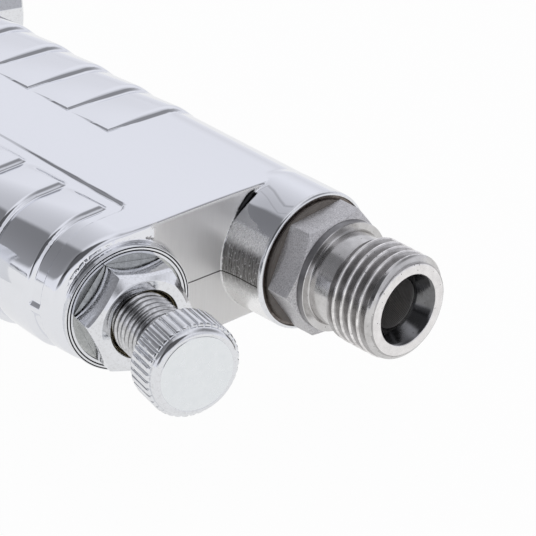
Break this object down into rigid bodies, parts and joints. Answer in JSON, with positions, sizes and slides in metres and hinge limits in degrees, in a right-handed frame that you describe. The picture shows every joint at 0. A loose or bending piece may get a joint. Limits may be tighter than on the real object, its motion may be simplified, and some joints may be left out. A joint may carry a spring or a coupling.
{
  "type": "pistol-grip tire inflator",
  "caption": "Compressed-air pistol-grip tire inflator with a threaded inlet, knurled flow knob, trigger, bleed button, dial gauge and a stem with a double chuck.",
  "frame": {"origin": "centre of the inlet nipple's mouth, on its end face", "axes": "+X along the nipple, out of the butt; +Y from the flow knob towards the nipple; +Z out of the upper flat face of the grip, so that the gun lies on its side"},
  "size_m": [0.2047, 0.2186, 0.03],
  "materials": {
    "chrome_casting": "polished chrome plate on a zinc casting, satin in the recess",
    "chrome_parts": "polished chrome plate on turned brass",
    "nickel_steel": "turned, nickel plated, lightly worn",
    "satin_chrome": "knurled, satin end face",
    "flow_brass": "plated brass thread, olive where the plate is thin",
    "brass_parts": "turned brass",
    "spring_steel": "drawn steel wire",
    "seal_black": "black nitrile",
    "seal_grey": "grey fibre",
    "button_red": "moulded red",
    "case_black": "black enamel",
    "lens_clear": "clear",
    "dial_white": "matt white with black scale",
    "pointer_black": "matt black",
    "boot_rubber": "moulded black rubber"
  },
  "bodies": {
    "gun": {"gun_body": "chrome_casting", "inlet_nipple": "nickel_steel", "inlet_washer": "seal_grey", "inlet_strainer": "brass_parts", "gland_nut": "chrome_parts", "valve_seat": "brass_parts", "valve_spring": "spring_steel", "valve_plug": "chrome_parts", "plug_o_ring": "seal_black", "packing_nut": "chrome_parts", "stem_packing": "seal_grey", "trigger_pin": "nickel_steel", "pin_clips": "spring_steel", "bleed_sleeve": "chrome_parts", "bleed_spring": "spring_steel", "bleed_seal": "seal_black", "outlet_adapter": "chrome_parts", "outlet_washer": "seal_grey", "stem_tube": "chrome_parts", "tube_nut": "chrome_parts", "chuck_body": "chrome_parts", "front_chuck_cap": "chrome_parts", "front_chuck_seal": "seal_black", "front_chuck_spring": "spring_steel", "rear_chuck_cap": "chrome_parts", "rear_chuck_seal": "seal_black", "rear_chuck_spring": "spring_steel", "gauge_socket": "brass_parts", "gauge_washer": "seal_grey", "gauge_case": "case_black", "gauge_bezel": "chrome_parts", "gauge_lens": "lens_clear", "gauge_dial": "dial_white", "dial_screws": "brass_parts", "movement_plates": "brass_parts", "bourdon_tube": "brass_parts", "gauge_boot": "boot_rubber"},
    "flow_carriage": {"flow_o_ring": "seal_black"},
    "flow_spindle": {"flow_screw": "flow_brass", "flow_knob": "satin_chrome"},
    "air_valve": {"valve_stem": "nickel_steel", "valve_disc": "seal_black"},
    "trigger_lever": {"trigger": "chrome_casting"},
    "bleed_plunger": {"bleed_button": "button_red"},
    "front_pin": {"front_depressor": "brass_parts"},
    "rear_pin": {"rear_depressor": "brass_parts"},
    "sector": {"sector_gear": "brass_parts"},
    "needle": {"gauge_pointer": "pointer_black", "pinion_arbor": "brass_parts"},
    "link": {"tube_link": "spring_steel"}
  },
  "joints": [
    {"name": "flow_advance", "type": "slide", "parent": "gun", "child": "flow_carriage", "axis": [0.9677, -0.2521, 0], "range_m": [-0.003, 0.0015]},
    {"name": "knob_turn", "type": "hinge", "parent": "flow_carriage", "child": "flow_spindle", "pos_m": [-0.0215, -0.0242, -0.0007], "axis": [0.9677, -0.2521, 0], "range_deg": [-1440, 720]},
    {"name": "trigger_pull", "type": "hinge", "parent": "gun", "child": "trigger_lever", "pos_m": [-0.14066, -0.03134, 0], "axis": [0, 0, 1], "range_deg": [0, 8], "stiffness_Nm_per_rad": 1.2, "springref_deg": -8.59},
    {"name": "valve_push", "type": "slide", "parent": "gun", "child": "air_valve", "axis": [0.2588, 0.9659, 0], "range_m": [0, 0.0042], "deforming": ["valve_spring"]},
    {"name": "bleed_press", "type": "slide", "parent": "gun", "child": "bleed_plunger", "axis": [-0.2588, -0.9659, 0], "range_m": [0, 0.0022], "stiffness_N_per_m": 400, "springref_m": -0.002, "deforming": ["bleed_spring"]},
    {"name": "front_pin_press", "type": "slide", "parent": "gun", "child": "front_pin", "axis": [-0.3907, 0.9205, 0], "range_m": [0, 0.0016], "stiffness_N_per_m": 300, "springref_m": -0.0015, "deforming": ["front_chuck_spring"]},
    {"name": "rear_pin_press", "type": "slide", "parent": "gun", "child": "rear_pin", "axis": [0.6018, -0.7986, 0], "range_m": [0, 0.0016], "stiffness_N_per_m": 300, "springref_m": -0.0015, "deforming": ["rear_chuck_spring"]},
    {"name": "sector_swing", "type": "hinge", "parent": "gun", "child": "sector", "pos_m": [-0.16923, -0.01013, 0], "axis": [0, 0, 1], "range_deg": [0, 45], "stiffness_Nm_per_rad": 0.0005, "springref_deg": -5.73},
    {"name": "needle_turn", "type": "hinge", "parent": "gun", "child": "needle", "pos_m": [-0.17553, 0.00078, 0], "axis": [0, 0, 1], "range_deg": [-271, 1]},
    {"name": "link_swing", "type": "hinge", "parent": "sector", "child": "link", "pos_m": [-0.17277, -0.01367, 0], "axis": [0, 0, 1], "range_deg": [-46, 1]}
  ],
  "couplings": [
    {"joint": "flow_advance", "follows": "knob_turn", "m_per_rad": 0.00011937},
    {"joint": "valve_push", "follows": "trigger_pull", "m_per_rad": 0.029},
    {"joint": "needle_turn", "follows": "sector_swing", "ratio": -6},
    {"joint": "link_swing", "follows": "sector_swing", "ratio": -1}
  ]
}
